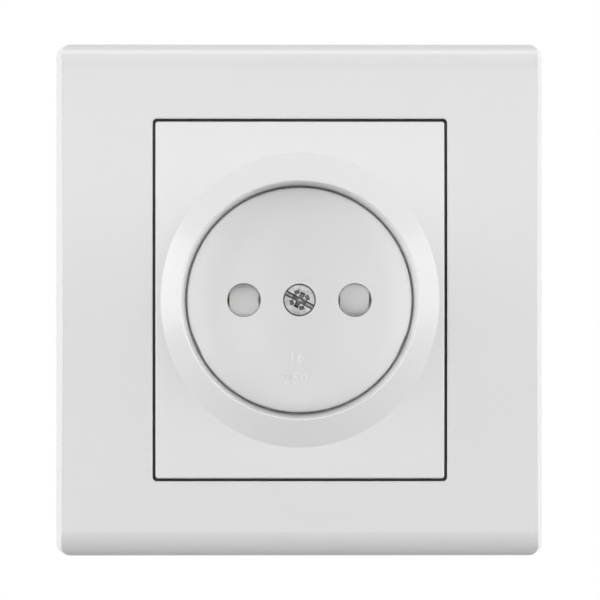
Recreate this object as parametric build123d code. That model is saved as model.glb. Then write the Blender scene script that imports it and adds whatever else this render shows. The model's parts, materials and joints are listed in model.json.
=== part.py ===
from build123d import *
import math
import os

# Flush two-pole wall socket with a rotary safety shutter.
# Millimetres. X runs right, Z up, and the socket faces -Y. The wall is the plane y = 0.

# Outer frame
frame_width = 83.4
frame_height = 87.3
frame_projection = 11.5
front_arch_radius = 480.0
frame_edge_radius = 4.5
frame_corner_radius = 2.0
frame_side_lean = 1.35
frame_wall = 2.0
frame_rim_wall = 1.6
frame_ledge_depth = 6.0
frame_ledge_width = 1.8
frame_ledge_thickness = 1.5
frame_rib_wall = 1.2
frame_rib_offset = 18.0
frame_rib_setback = 3.0

# Cover plate with its collar and plug well
plate_width = 49.1
plate_height = 60.65
plate_corner_radius = 0.45
plate_wall = 2.0
plate_skirt_wall = 1.5
plate_gap = 0.5
lip_bevel = 0.2
collar_foot_radius = 23.7
collar_rise = 1.46
collar_crown_radius = 60.0
collar_lip_bevel = 0.2
well_mouth_radius = 20.2
well_depth = 8.3
well_wall = 1.5
seat_width = 2.2
seat_thickness = 1.5
seat_groove_width = 1.0
seat_groove_depth = 0.8

# Face insert
insert_radius = 19.18
insert_thickness = 1.8
insert_gap = 0.38
insert_rim_width = 0.3
insert_rim_drop = 0.12
insert_flat_depth = 0.15
insert_flat_angle = 24.0
pin_spacing = 19.0
pin_hole_radius = 2.775
pin_hole_bevel = 0.15
counterbore_depth = 1.75
boss_radius = 3.3
housing_radius = 13.4
housing_wall = 1.2
stop_rib_wall = 1.2
stop_gap = 0.3

# Rotary shutter, its spring and its cover
shutter_depth = 4.2
shutter_travel = 38.0
shutter_front_gap = 0.2
shutter_bore_gap = 0.08
hub_radius = 6.2
hub_wall = 1.0
hub_web = 1.6
pad_inner_radius = 7.0
pad_outer_radius = 12.0
pad_half_angle = 19.5
pad_wall = 1.1
ramp_angle = 10.0
arm_half_width = 1.4
arm_depth = 1.3
spring_wire = 0.5
spring_wire_sides = 4
spring_mean_radius = 4.3
spring_turns = 2
spring_pitch = 0.6
spring_leg = 3.4
spring_notch = 1.6
shutter_cover_thickness = 1.0
shutter_cover_gap = 0.26
cover_edge_gap = 0.1

# Screws and nut
screw_radius = 1.5
screw_hole_gap = 0.2
thread_gap = 0.05
centre_head_radius = 2.62
centre_head_height = 1.5
centre_head_gap = 0.18
centre_screw_length = 18.4
centre_slot_angle = 28.5
drive_slot_width = 0.8
drive_slot_depth = 0.8
nut_across_flats = 5.5
nut_height = 2.4
nut_gap = 0.1
nut_seat = 12.0

# Base
base_width = 48.0
base_height = 35.0
base_corner_radius = 8.0
base_flange = 4.0
base_shoulder_width = 30.0
base_shoulder_depth = 14.0
base_body_height = 17.0
base_body_radius = 2.0
base_depth = 20.0
base_floor = 3.0
base_edge_bevel = 0.5
housing_gap = 0.3
core_wall = 1.6
core_bottom = 4.5

# Contacts and terminals
contact_sheet = 0.7
contact_width = 5.0
contact_grip = 3.6
contact_flare = 6.2
contact_root = 5.8
contact_bend = 1.0
tail_bend = 0.6
contact_lead = 2.0
contact_throat = 4.6
contact_back_gap = 0.65
contact_spring_sheet = 0.4
contact_spring_width = 3.6
contact_spring_gap = 0.05
contact_spring_setback = 1.2
chamber_width = 6.6
chamber_height = 8.0
tail_width = 4.0
tail_reach = 15.0
tongue_length = 7.5
terminal_length = 6.2
terminal_height = 7.2
terminal_inner_wall = 1.0
terminal_outer_wall = 3.0
terminal_window_height = 4.6
terminal_window_reach = 4.0
terminal_gap = 0.2
terminal_head_radius = 3.0
terminal_head_height = 1.9
terminal_head_gap = 0.3
terminal_screw_bite = 0.7
wire_hole_radius = 1.9
wire_hole_flare = 0.6

# Strap and rivets
strap_span = 71.0
strap_corner_cut = 12.0
strap_thickness = 1.0
strap_opening_radius = 15.5
box_screw_spacing = 60.0
box_slot_width = 4.0
box_slot_length = 7.5
rivet_x = 20.5
rivet_z = 11.5
rivet_radius = 1.2
rivet_head_radius = 1.7
rivet_head_height = 0.6
rivet_sides = 12
rivet_gap = 0.1

# Claws and their screws
claw_spacing = 49.2
claw_sheet = 1.5
claw_width = 14.0
claw_start = 1.8
claw_foot_back = 13.5
claw_reach = 3.3
claw_base_gap = 0.7
claw_bend = 1.0
claw_teeth = 4
claw_tooth_depth = 1.2
claw_head_radius = 2.7
claw_head_cap = 0.6
claw_hole_radius = 2.1
claw_seat_gap = 0.03
claw_screw_end = 16.0

# Levels along Y worked out from the sizes above
crown_y = -frame_projection
ahead_y = 2 * crown_y
collar_y = crown_y - collar_rise
insert_front = collar_y + well_depth
insert_back = insert_front + insert_thickness
ledge_front = crown_y + frame_ledge_depth
strap_front = -strap_thickness
shutter_front = insert_back + shutter_front_gap
shutter_back = shutter_front + shutter_depth
cover_front = shutter_back + shutter_cover_gap
cover_back = cover_front + shutter_cover_thickness
recess_floor = cover_back + shutter_front_gap
chamber_floor = base_depth - base_floor
contact_back = chamber_floor - contact_back_gap

# Radii and spans worked out from the sizes above
opening_width = plate_width + 2 * plate_gap
opening_height = plate_height + 2 * plate_gap
opening_corner = plate_corner_radius + plate_gap / 2
well_radius = insert_radius + insert_gap
well_outer_radius = well_radius + well_wall
counterbore_radius = centre_head_radius + centre_head_gap
screw_hole_radius = screw_radius + screw_hole_gap
hub_bore_radius = boss_radius + shutter_bore_gap
spring_pocket_radius = hub_radius - hub_wall
housing_outer_radius = housing_radius + housing_wall
pin_x = pin_spacing / 2
terminal_x = tail_reach - terminal_inner_wall
terminal_end = tail_reach + terminal_window_reach + terminal_outer_wall
terminal_back = contact_back - contact_sheet - terminal_gap
terminal_y = terminal_back - terminal_length / 2
claw_z = claw_spacing / 2
claw_pivot_y = strap_front - math.sqrt((claw_head_radius + claw_seat_gap) ** 2 - claw_hole_radius**2)

half_turn = Rot(0, 180, 0)


def front_plane(y):
    """Plane at this depth, with X right, Z up and its normal towards the front."""
    return Plane.XZ.offset(-y)


def slab(sketch, front, back):
    """Sketch drawn as seen from the front, extruded between two depths."""
    return extrude(front_plane(back) * sketch, amount=back - front)


def turned(points):
    """Solid turned about the Y axis from a closed outline of radius and depth."""
    return revolve(make_face(Polyline(*points, close=True)), axis=Axis.Y)


def rod(radius, x, z, front, back):
    """Round bar along Y."""
    return slab(Pos(x, z) * Circle(radius), front, back)


def bar_x(radius, y, z, start, end):
    """Round bar along X."""
    return extrude(Plane.YZ.offset(start) * Pos(y, z) * Circle(radius), amount=end - start)


def block(x0, x1, y0, y1, z0, z1):
    """Rectangular block between two corners."""
    return Pos((x0 + x1) / 2, (y0 + y1) / 2, (z0 + z1) / 2) * Box(x1 - x0, y1 - y0, z1 - z0)


def sector(inner, outer, start, end):
    """Piece of a flat ring between two angles, counted from +X towards +Z."""
    span = end - start
    arc_out = CenterArc((0, 0), outer, start, span)
    arc_in = CenterArc((0, 0), inner, start, span)
    sides = [Line(arc_in @ 0, arc_out @ 0), Line(arc_in @ 1, arc_out @ 1)]
    return make_face([arc_out, arc_in, *sides])


def arch(depth):
    """Everything behind the arched front, set back by a depth."""
    radius = front_arch_radius - depth
    centre = Pos(0, front_arch_radius - frame_projection, 0)
    return centre * Rot(0, 90, 0) * Cylinder(radius, 2 * frame_width)


def arched_profile(inset):
    """Side view of the arched form, set in by a wall."""
    half = frame_height / 2 - inset
    radius = front_arch_radius - inset
    crown = crown_y + inset
    edge_y = crown + radius - math.sqrt(radius**2 - half**2)
    outline = Polyline((edge_y, half), (0, half), (0, -half), (edge_y, -half))
    front = ThreePointArc((edge_y, half), (crown, 0), (edge_y, -half))
    profile = make_face([outline, front])
    return fillet(profile.vertices().group_by(Axis.X)[0], frame_edge_radius - inset)


def arched_block(inset, height):
    """The frame's filled outer form, or the same form set in by a wall, with sides that lean inwards."""
    width = frame_width - 2 * inset
    prism = extrude(Plane.YZ * arched_profile(inset), amount=width, both=True)
    lean = 2 * frame_side_lean
    back_outline = RectangleRounded(width + lean, height, frame_corner_radius)
    front_outline = RectangleRounded(width - 2 * lean, height, frame_corner_radius)
    return prism & loft([front_plane(-crown_y) * back_outline, front_plane(ahead_y) * front_outline])


def make_outer_frame():
    """Hollow frame with a rim round its opening, a ledge for the plate and ribs inside."""
    outer = arched_block(0, frame_height)
    hollow = arched_block(frame_wall, 2 * frame_height)
    rim_width = opening_width + 2 * frame_rim_wall
    rim_height = opening_height + 2 * frame_rim_wall
    rim = slab(Rectangle(rim_width, rim_height), crown_y, strap_front)
    rib_back = -frame_rib_setback
    wide_rib = Rectangle(frame_width, frame_rib_wall)
    tall_rib = Rectangle(frame_rib_wall, frame_height)
    ribs = Sketch()
    for side in (-1, 1):
        ribs += Pos(0, side * frame_rib_offset) * wide_rib
        ribs += Pos(side * frame_rib_offset, 0) * tall_rib
    inside = (rim + slab(ribs, crown_y, rib_back)) & hollow
    opening = RectangleRounded(opening_width, opening_height, opening_corner)
    ledge_width = opening_width - 2 * frame_ledge_width
    ledge_height = opening_height - 2 * frame_ledge_width
    ledge = opening - Rectangle(ledge_width, ledge_height)
    frame = outer - hollow + inside - slab(opening, ahead_y, frame_wall)
    lip = frame.edges().filter_by(lambda e: on_front_lip(e, opening_width, opening_height))
    frame = chamfer(lip, lip_bevel)
    return frame + slab(ledge, ledge_front, ledge_front + frame_ledge_thickness)


def on_front_lip(edge, width, height):
    """Whether an edge runs along the arched front, round an outline of this size."""
    at = edge.center()
    on_side = math.isclose(abs(at.X), width / 2, abs_tol=opening_corner / 2) and abs(at.Z) <= height / 2
    on_end = math.isclose(abs(at.Z), height / 2, abs_tol=opening_corner / 2) and abs(at.X) <= width / 2
    return at.Y < crown_y + frame_wall and (on_side or on_end) and edge.bounding_box().size.Y < frame_wall


def make_collar():
    """Ring of the collar, the plug well and the seat for the face insert."""
    foot = Vector(collar_foot_radius, crown_y)
    mouth = Vector(well_mouth_radius, collar_y)
    chord = foot - mouth
    half_chord = chord.length / 2
    rise = math.sqrt(collar_crown_radius**2 - half_chord**2)
    inwards = Vector(-chord.Y, chord.X).normalized()
    centre = (foot + mouth) * 0.5 + inwards * rise
    foot_drop = collar_foot_radius**2 / (2 * front_arch_radius)
    hidden_y = crown_y + plate_wall / 2 + foot_drop
    hidden_radius = centre.X + math.sqrt(collar_crown_radius**2 - (hidden_y - centre.Y) ** 2)
    middle_radius = (hidden_radius + well_mouth_radius) / 2
    middle_y = centre.Y - math.sqrt(collar_crown_radius**2 - (middle_radius - centre.X) ** 2)
    crown = ThreePointArc((hidden_radius, hidden_y), (middle_radius, middle_y), (mouth.X, mouth.Y))
    seat_radius = well_radius - seat_width
    seat_back = insert_back + seat_thickness
    groove_radius = well_radius - seat_groove_width
    groove_floor = insert_back + seat_groove_depth
    skin_y = (hidden_y + crown_y + plate_wall) / 2
    rest = Polyline(
        (mouth.X, mouth.Y),
        (well_radius, insert_front),
        (well_radius, groove_floor),
        (groove_radius, groove_floor),
        (groove_radius, insert_back),
        (seat_radius, insert_back),
        (seat_radius, seat_back),
        (well_outer_radius, seat_back),
        (well_outer_radius, skin_y),
        (hidden_radius, skin_y),
        (hidden_radius, hidden_y),
    )
    profile = make_face([crown, rest])
    lip = profile.vertices().sort_by(Axis.Y)[0]
    return revolve(chamfer(lip, collar_lip_bevel), axis=Axis.Y)


def make_cover_plate():
    """Arched plate with a skirt that stands on the frame's ledge."""
    outline = RectangleRounded(plate_width, plate_height, plate_corner_radius)
    inside = Rectangle(plate_width - 2 * plate_skirt_wall, plate_height - 2 * plate_skirt_wall)
    body = slab(outline, ahead_y, ledge_front) & arch(0)
    front_edges = body.edges().filter_by(lambda e: on_front_lip(e, plate_width, plate_height))
    body = chamfer(front_edges, lip_bevel)
    body -= slab(inside, ahead_y, ledge_front) & arch(plate_wall)
    body -= rod((well_mouth_radius + well_outer_radius) / 2, 0, 0, ahead_y, ledge_front)
    return body + (make_collar() & slab(outline, ahead_y, 0))


def rib_angle(edge_angle, side):
    """Angle of a stop rib that stands clear of a pad edge at this angle."""
    reach = stop_rib_wall / 2 + stop_gap
    return edge_angle + side * math.degrees(math.asin(reach / pad_inner_radius))


def make_face_insert():
    """Round face with pin holes, and the shutter's housing with its pivot and stops behind it."""
    face = rod(insert_radius, 0, 0, insert_front, insert_back)
    front = face.faces().sort_by(Axis.Y)[0]
    face = chamfer(front.edges(), insert_rim_width, insert_rim_drop, reference=front)
    flat_x = insert_radius - insert_flat_depth
    flat = Pos(flat_x + insert_radius / 2, 0) * Rectangle(insert_radius, insert_radius)
    for angle in (-insert_flat_angle, 180 + insert_flat_angle):
        face -= slab(Rot(0, 0, angle) * flat, insert_front, insert_back)
    for x in (-pin_x, pin_x):
        face -= rod(pin_hole_radius, x, 0, insert_front, insert_back)
    holes = face.edges().filter_by(GeomType.CIRCLE).group_by(Axis.Y)[0]
    holes = holes.filter_by(lambda e: e.radius < boss_radius)
    face = chamfer(holes, pin_hole_bevel)
    skirt = slab(Circle(housing_outer_radius) - Circle(housing_radius), insert_back, cover_back)
    boss = rod(boss_radius, 0, 0, insert_back, cover_back)
    stop = Pos((hub_radius + housing_radius) / 2 + stop_gap, 0) * Rectangle(
        housing_radius - hub_radius, stop_rib_wall
    )
    stops = Sketch()
    for turn in (0, 180):
        stops += Rot(0, 0, turn + rib_angle(-pad_half_angle, -1)) * stop
        stops += Rot(0, 0, turn + rib_angle(pad_half_angle + shutter_travel, 1)) * stop
    insert = face + skirt + boss + slab(stops, insert_back, cover_front)
    insert -= rod(counterbore_radius, 0, 0, insert_front, insert_front + counterbore_depth)
    return insert - rod(screw_hole_radius, 0, 0, insert_front, cover_back)


def ramp_cut(depth):
    """Space in front of the right pad's ramp, with the ramp set back by a depth."""
    slope = math.tan(math.radians(ramp_angle))
    top = pin_hole_radius
    bottom = -pad_outer_radius
    low_y = shutter_front + depth + (top - bottom) * slope
    far = shutter_front - pad_outer_radius
    outline = Polyline(
        (shutter_front + depth, pad_outer_radius),
        (shutter_front + depth, top),
        (low_y, bottom),
        (far, bottom),
        (far, pad_outer_radius),
        close=True,
    )
    return extrude(Plane.YZ * make_face(outline), amount=pad_outer_radius + hub_radius)


def make_pad():
    """Right-hand pad: a ramp over the pin hole, cored from behind."""
    outline = sector(pad_inner_radius, pad_outer_radius, -pad_half_angle, pad_half_angle)
    core_angle = pad_half_angle - math.degrees(pad_wall / pad_inner_radius)
    core_inner = pad_inner_radius + pad_wall
    core_outer = pad_outer_radius - pad_wall
    core = sector(core_inner, core_outer, -core_angle, core_angle)
    body = slab(outline, shutter_front, shutter_back) - ramp_cut(0)
    return body - (slab(core, shutter_front, shutter_back) - ramp_cut(pad_wall))


def make_shutter():
    """Two-winged rotor on the insert's pivot, with a pocket for its spring."""
    hub = rod(hub_radius, 0, 0, shutter_front, shutter_back)
    pad = make_pad()
    arm_start = hub_radius - hub_wall / 2
    arm_end = pad_inner_radius + pad_wall / 2
    arm_front = shutter_back - arm_depth
    arm = block(arm_start, arm_end, arm_front, shutter_back, -arm_half_width, arm_half_width)
    shutter = hub
    for turn in (0, 180):
        shutter += Rot(0, turn, 0) * (pad + arm)
    shutter -= rod(hub_bore_radius, 0, 0, shutter_front, shutter_back)
    pocket_front = shutter_front + hub_web
    shutter -= rod(spring_pocket_radius, 0, 0, pocket_front, shutter_back)
    notch_angle = 90 + math.degrees(math.atan2(spring_leg, spring_mean_radius))
    notch_length = 2 * (hub_radius - spring_mean_radius)
    notch = Rot(0, 0, notch_angle) * Pos(hub_radius, 0) * Rectangle(notch_length, spring_notch)
    return shutter - slab(notch, pocket_front, shutter_back)


def make_shutter_spring():
    """Torsion spring round the pivot, with a straight leg in the hub and one in the cover."""
    start_y = shutter_front + hub_web + spring_wire
    coil_depth = spring_pitch * spring_turns
    helix = Helix(spring_pitch, coil_depth, spring_mean_radius, (0, start_y, 0), (0, 1, 0))
    wire = RegularPolygon(spring_wire / 2, spring_wire_sides)
    section = Plane(helix @ 0, z_dir=helix % 0) * wire
    coil = sweep(section, path=helix, is_frenet=True)
    front_leg = extrude(section, amount=-spring_leg)
    end = helix @ 1
    back_leg = slab(Pos(end.X, end.Z) * wire, end.Y, cover_back - spring_wire)
    return coil + front_leg + back_leg


def make_shutter_cover():
    """Thin disc that closes the shutter's housing behind the stops."""
    outline = Circle(housing_radius - cover_edge_gap) - Circle(hub_bore_radius)
    for x in (-pin_x, pin_x):
        outline -= Pos(x, 0) * Circle(pin_hole_radius)
    leg_hole = Pos(0, spring_mean_radius) * Circle(spring_wire)
    return slab(outline - leg_hole, cover_front, cover_back)


def slotted(screw, head_front, x, z, angle):
    """Screw along Y with a driver slot across its head."""
    slot = Rectangle(2 * claw_head_radius, drive_slot_width)
    return screw - slab(Pos(x, z) * Rot(0, 0, angle) * slot, head_front, head_front + drive_slot_depth)


def make_centre_screw():
    """Pan-head screw that clamps the insert, the plate and the frame to the base."""
    head_back = insert_front + counterbore_depth
    head_front = head_back - centre_head_height
    head = rod(centre_head_radius, 0, 0, head_front, head_back)
    shank = rod(screw_radius, 0, 0, head_back, head_back + centre_screw_length)
    return slotted(head + shank, head_front, 0, 0, -centre_slot_angle)


def make_centre_nut():
    """Hexagon nut caught in the base."""
    hexagon = RegularPolygon(nut_across_flats / 2, 6, major_radius=False)
    return slab(hexagon - Circle(screw_radius + thread_gap), nut_seat, nut_seat + nut_height)


def leaf_points():
    """Corners of a contact's middle line, seen from the side, from the upper tip to the lower."""
    pinch = contact_throat + contact_lead
    back = contact_back - contact_sheet / 2
    pinch_z = (contact_grip + contact_sheet) / 2
    upper = [(contact_throat, contact_flare / 2), (pinch, pinch_z), (back, contact_root / 2)]
    return upper + [(y, -z) for y, z in reversed(upper)]


def strip(path, sheet, width, x):
    """Folded strip along a side-view path, centred at x."""
    return extrude(Plane.YZ.offset(x - width / 2) * trace(path, sheet), amount=width)


def make_contact():
    """Right-hand contact: two leaves on a back wall, with a tail folded into the terminal."""
    path = FilletPolyline(*leaf_points(), radius=contact_bend).wire()
    leaves = strip(path, contact_sheet, contact_width, pin_x)
    half_tail = tail_width / 2
    tail_end = tail_reach + contact_sheet
    back_wall = block(pin_x, tail_end, contact_back - contact_sheet, contact_back, -half_tail, half_tail)
    tongue_front = contact_back - tongue_length
    tongue = block(tail_reach, tail_end, tongue_front, contact_back, -half_tail, half_tail)
    contact = leaves + back_wall + tongue
    corner = contact.edges().filter_by(Axis.Z).group_by(Axis.X)[-1].sort_by(Axis.Y)[-1]
    return fillet(corner, tail_bend)


def make_contact_spring():
    """Right-hand steel clip that presses the leaves of the contact together."""
    pinch, back = leaf_points()[1:3]
    leaf = Line(pinch, back)
    start = leaf @ (contact_spring_setback / leaf.length)
    corners = [(start.X, start.Y), back, (back[0], -back[1]), (start.X, -start.Y)]
    path = FilletPolyline(*corners, radius=contact_bend).wire()
    outwards = (contact_sheet + contact_spring_sheet) / 2 + contact_spring_gap
    path = path.offset_2d(outwards, side=Side.LEFT, closed=False)
    return strip(path, contact_spring_sheet, contact_spring_width, pin_x)


def make_terminal():
    """Right-hand cage terminal, open from behind for the wire."""
    half = terminal_height / 2
    half_window = terminal_window_height / 2
    front = terminal_back - terminal_length
    cage = block(terminal_x, terminal_end, front, terminal_back, -half, half)
    cage = chamfer(cage.edges().filter_by(Axis.Y), terminal_inner_wall / 2)
    window_end = tail_reach + terminal_window_reach
    cage -= block(tail_reach, window_end, front, terminal_back, -half_window, half_window)
    return cage - bar_x(screw_radius + thread_gap, terminal_y, 0, window_end, terminal_end)


def make_terminal_screw():
    """Right-hand clamping screw, driven from the side."""
    head_start = terminal_end + terminal_head_gap
    head_end = head_start + terminal_head_height
    tip = tail_reach + terminal_window_reach - terminal_screw_bite
    screw = bar_x(screw_radius, terminal_y, 0, tip, head_start)
    screw += bar_x(terminal_head_radius, terminal_y, 0, head_start, head_end)
    slot = Pos(terminal_y, 0) * Rectangle(drive_slot_width, 2 * terminal_head_radius)
    return screw - extrude(Plane.YZ.offset(head_end) * slot, amount=-drive_slot_depth)


def terminal_pocket():
    """Right-hand space in the base for the contact, its tail and its terminal."""
    chamber = slab(Pos(pin_x, 0) * Rectangle(chamber_width, chamber_height), recess_floor, chamber_floor)
    half_tail = tail_width / 2 + terminal_gap
    channel = block(pin_x, tail_reach, recess_floor, chamber_floor, -half_tail, half_tail)
    half_cage = terminal_height / 2 + terminal_gap
    cage_start = terminal_x - terminal_gap
    cage_end = terminal_end + terminal_gap
    pocket = block(cage_start, cage_end, 0, chamber_floor, -half_cage, half_cage)
    driver = bar_x(terminal_head_radius + terminal_head_gap, terminal_y, 0, terminal_end, base_width / 2)
    wire_x = tail_reach + contact_sheet + wire_hole_radius
    wire = rod(wire_hole_radius, wire_x, 0, chamber_floor, base_depth)
    funnel = turned(
        [
            (0, base_depth - wire_hole_flare),
            (wire_hole_radius, base_depth - wire_hole_flare),
            (wire_hole_radius + wire_hole_flare, base_depth),
            (0, base_depth),
        ]
    )
    return chamber + channel + pocket + driver + wire + Pos(wire_x, 0, 0) * funnel


def base_cores():
    """Hollows moulded into the back of the shoulders, above and below the contacts."""
    half_rib = core_wall / 2
    inner = base_body_height / 2 + core_wall
    outer = base_height / 2 - core_wall
    end = base_shoulder_width / 2 - core_wall
    cores = Part()
    for side_x in (-1, 1):
        for side_z in (-1, 1):
            x = sorted((side_x * half_rib, side_x * end))
            z = sorted((side_z * inner, side_z * outer))
            cores += block(*x, core_bottom, base_shoulder_depth, *z)
    return cores


def make_base():
    """Moulded base with a flange behind the strap, a shutter recess and two contact chambers."""
    flange = slab(RectangleRounded(base_width, base_height, base_corner_radius), 0, base_flange)
    shoulders = RectangleRounded(base_shoulder_width, base_height, base_body_radius)
    shoulders = slab(shoulders, 0, base_shoulder_depth)
    body = slab(RectangleRounded(base_width, base_body_height, base_body_radius), 0, base_depth)
    back_edges = body.edges().group_by(Axis.Y)[-1]
    base = flange + shoulders + chamfer(back_edges, base_edge_bevel)
    base -= rod(housing_outer_radius + housing_gap, 0, 0, 0, recess_floor)
    right = terminal_pocket()
    base -= right
    base -= half_turn * right
    base -= base_cores()
    base -= rod(screw_hole_radius, 0, 0, recess_floor, base_depth)
    nut_pocket = RegularPolygon(nut_across_flats / 2 + nut_gap, 6, major_radius=False)
    base -= slab(nut_pocket, nut_seat, base_depth)
    for x, z in rivet_places():
        base -= rod(rivet_radius + rivet_gap, x, z, 0, base_flange)
    return base


def rivet_places():
    """Centres of the two rivets in the base's flange."""
    return [(side * rivet_x, side * rivet_z) for side in (-1, 1)]


def make_strap():
    """Flat steel strap with its opening, box-screw slots, claw holes and rivet holes."""
    outline = chamfer(Rectangle(strap_span, strap_span).vertices(), strap_corner_cut)
    outline -= Circle(strap_opening_radius)
    slot = SlotOverall(box_slot_length, box_slot_width)
    for side in (-1, 1):
        outline -= Pos(side * box_screw_spacing / 2, 0) * slot
        outline -= Pos(0, side * claw_z) * Circle(claw_hole_radius)
    for x, z in rivet_places():
        outline -= Pos(x, z) * Circle(rivet_radius + rivet_gap)
    return slab(outline, strap_front, 0)


def make_rivets():
    """Rivets with a formed head at both ends."""
    rivets = []
    for x, z in rivet_places():
        shank = Pos(x, z) * RegularPolygon(rivet_radius, rivet_sides)
        head = Pos(x, z) * RegularPolygon(rivet_head_radius, rivet_sides)
        rivet = slab(shank, strap_front, base_flange)
        rivet += slab(head, strap_front - rivet_head_height, strap_front)
        rivet += slab(head, base_flange, base_flange + rivet_head_height)
        rivets.append(rivet)
    return Compound(children=[rivet.solid() for rivet in rivets])


def make_claw():
    """Upper claw: a folded steel strip whose toothed foot grips the wall box."""
    half_sheet = claw_sheet / 2
    leg_z = base_height / 2 + claw_base_gap + half_sheet
    foot_y = claw_foot_back - half_sheet
    edge_z = claw_z + claw_reach
    path = FilletPolyline((claw_start, leg_z), (foot_y, leg_z), (foot_y, edge_z), radius=claw_bend)
    claw = strip(path.wire(), claw_sheet, claw_width, 0)
    pitch = claw_width / claw_teeth
    valley_z = edge_z - claw_tooth_depth
    notch = Polyline((-pitch / 2, edge_z), (0, valley_z), (pitch / 2, edge_z), close=True)
    notches = Sketch()
    for place in range(claw_teeth + 1):
        notches += Pos(pitch * place - claw_width / 2, 0) * make_face(notch)
    claw -= slab(notches, foot_y - claw_sheet, foot_y + claw_sheet)
    return claw - rod(screw_radius + thread_gap, 0, claw_z, claw_start, claw_screw_end)


def make_claw_screw():
    """Upper claw screw, with a round seat under its head so that it swings with its claw."""
    front = claw_pivot_y - claw_head_cap
    seat_depth = strap_front - claw_pivot_y
    seat_radius = math.sqrt(claw_head_radius**2 - seat_depth**2)
    on_seat = math.asin(seat_depth / claw_head_radius) / 2
    middle = (claw_head_radius * math.cos(on_seat), claw_pivot_y + claw_head_radius * math.sin(on_seat))
    seat = ThreePointArc((claw_head_radius, claw_pivot_y), middle, (seat_radius, strap_front))
    rest = Polyline(
        (seat_radius, strap_front),
        (screw_radius, strap_front),
        (screw_radius, claw_screw_end),
        (0, claw_screw_end),
        (0, front),
        (claw_head_radius, front),
        (claw_head_radius, claw_pivot_y),
    )
    screw = Pos(0, 0, claw_z) * revolve(make_face([seat, rest]), axis=Axis.Y)
    return slotted(screw, front, 0, claw_z, 0)


pieces = {
    "outer_frame": make_outer_frame(),
    "cover_plate": make_cover_plate(),
    "face_insert": make_face_insert(),
    "shutter": make_shutter(),
    "shutter_spring": make_shutter_spring(),
    "shutter_cover": make_shutter_cover(),
    "centre_screw": make_centre_screw(),
    "centre_nut": make_centre_nut(),
    "base": make_base(),
    "mounting_strap": make_strap(),
    "strap_rivets": make_rivets(),
    "right_contact": make_contact(),
    "right_contact_spring": make_contact_spring(),
    "right_terminal": make_terminal(),
    "right_terminal_screw": make_terminal_screw(),
    "upper_claw": make_claw(),
    "upper_claw_screw": make_claw_screw(),
}

# The mechanism's other half is the same, turned about the socket's axis
for name in list(pieces):
    if name.startswith("right_"):
        pieces[name.replace("right_", "left_")] = half_turn * pieces[name]
    if name.startswith("upper_"):
        pieces[name.replace("upper_", "lower_")] = half_turn * pieces[name]

os.makedirs("parts", exist_ok=True)
for name, piece in pieces.items():
    export_step(piece, f"parts/{name}.step")
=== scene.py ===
"""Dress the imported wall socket: finishes, finely modelled small pieces, studio light and camera."""

import json
import logging
import math
from collections.abc import Callable, Sequence
from dataclasses import dataclass
from enum import Enum

import bpy
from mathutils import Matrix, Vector
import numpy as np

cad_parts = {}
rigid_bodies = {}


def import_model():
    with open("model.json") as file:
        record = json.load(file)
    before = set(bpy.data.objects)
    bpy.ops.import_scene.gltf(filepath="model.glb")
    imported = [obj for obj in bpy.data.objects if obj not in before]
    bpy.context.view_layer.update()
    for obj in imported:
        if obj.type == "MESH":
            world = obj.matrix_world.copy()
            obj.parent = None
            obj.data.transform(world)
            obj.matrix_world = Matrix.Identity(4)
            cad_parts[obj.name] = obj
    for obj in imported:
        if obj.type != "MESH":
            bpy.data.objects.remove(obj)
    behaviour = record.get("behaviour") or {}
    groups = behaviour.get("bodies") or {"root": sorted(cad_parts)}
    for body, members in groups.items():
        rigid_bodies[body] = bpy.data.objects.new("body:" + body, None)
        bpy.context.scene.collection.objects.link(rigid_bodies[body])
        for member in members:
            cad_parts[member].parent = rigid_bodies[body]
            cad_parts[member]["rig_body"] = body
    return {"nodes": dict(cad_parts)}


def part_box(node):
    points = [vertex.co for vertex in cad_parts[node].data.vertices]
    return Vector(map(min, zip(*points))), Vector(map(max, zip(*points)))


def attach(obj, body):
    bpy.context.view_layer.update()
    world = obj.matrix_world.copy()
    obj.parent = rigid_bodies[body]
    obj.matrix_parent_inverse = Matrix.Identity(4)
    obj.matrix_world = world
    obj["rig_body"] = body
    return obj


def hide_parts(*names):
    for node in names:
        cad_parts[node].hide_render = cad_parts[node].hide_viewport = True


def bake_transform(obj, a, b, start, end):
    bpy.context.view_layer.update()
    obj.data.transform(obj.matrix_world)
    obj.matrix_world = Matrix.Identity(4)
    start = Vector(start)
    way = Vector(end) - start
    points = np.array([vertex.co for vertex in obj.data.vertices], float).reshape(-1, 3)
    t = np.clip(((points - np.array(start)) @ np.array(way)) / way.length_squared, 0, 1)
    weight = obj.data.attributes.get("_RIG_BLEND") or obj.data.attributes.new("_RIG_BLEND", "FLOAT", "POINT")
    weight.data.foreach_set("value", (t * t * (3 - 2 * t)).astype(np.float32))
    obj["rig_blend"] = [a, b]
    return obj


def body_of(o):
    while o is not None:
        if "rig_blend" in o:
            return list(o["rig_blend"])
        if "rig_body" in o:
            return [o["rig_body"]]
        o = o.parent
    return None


LOG = logging.getLogger("wall_socket")
MM = 0.001
PATTERN_LOW = 0.3
PATTERN_HIGH = 0.7
Triple = tuple[float, float, float]
Outline = Sequence[tuple[float, float]]
Piece = bpy.types.Object
Socket = bpy.types.NodeSocket


class Axis(Enum):
    """Axis of the shared frame, as its vector."""

    X = (1.0, 0.0, 0.0)
    Y = (0.0, 1.0, 0.0)
    Z = (0.0, 0.0, 1.0)


class Brush(Enum):
    """Direction that a metal's fine lines run in, as the stretch of its pattern."""

    ROLLED = (1.0, 1.0, 0.04)
    DRAWN = (1.0, 0.04, 1.0)
    TUMBLED = (1.0, 1.0, 1.0)


class Drive(Enum):
    """Kind of recess in a screw's head."""

    SLOT = 1
    SLOT_AND_CROSS = 2


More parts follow.
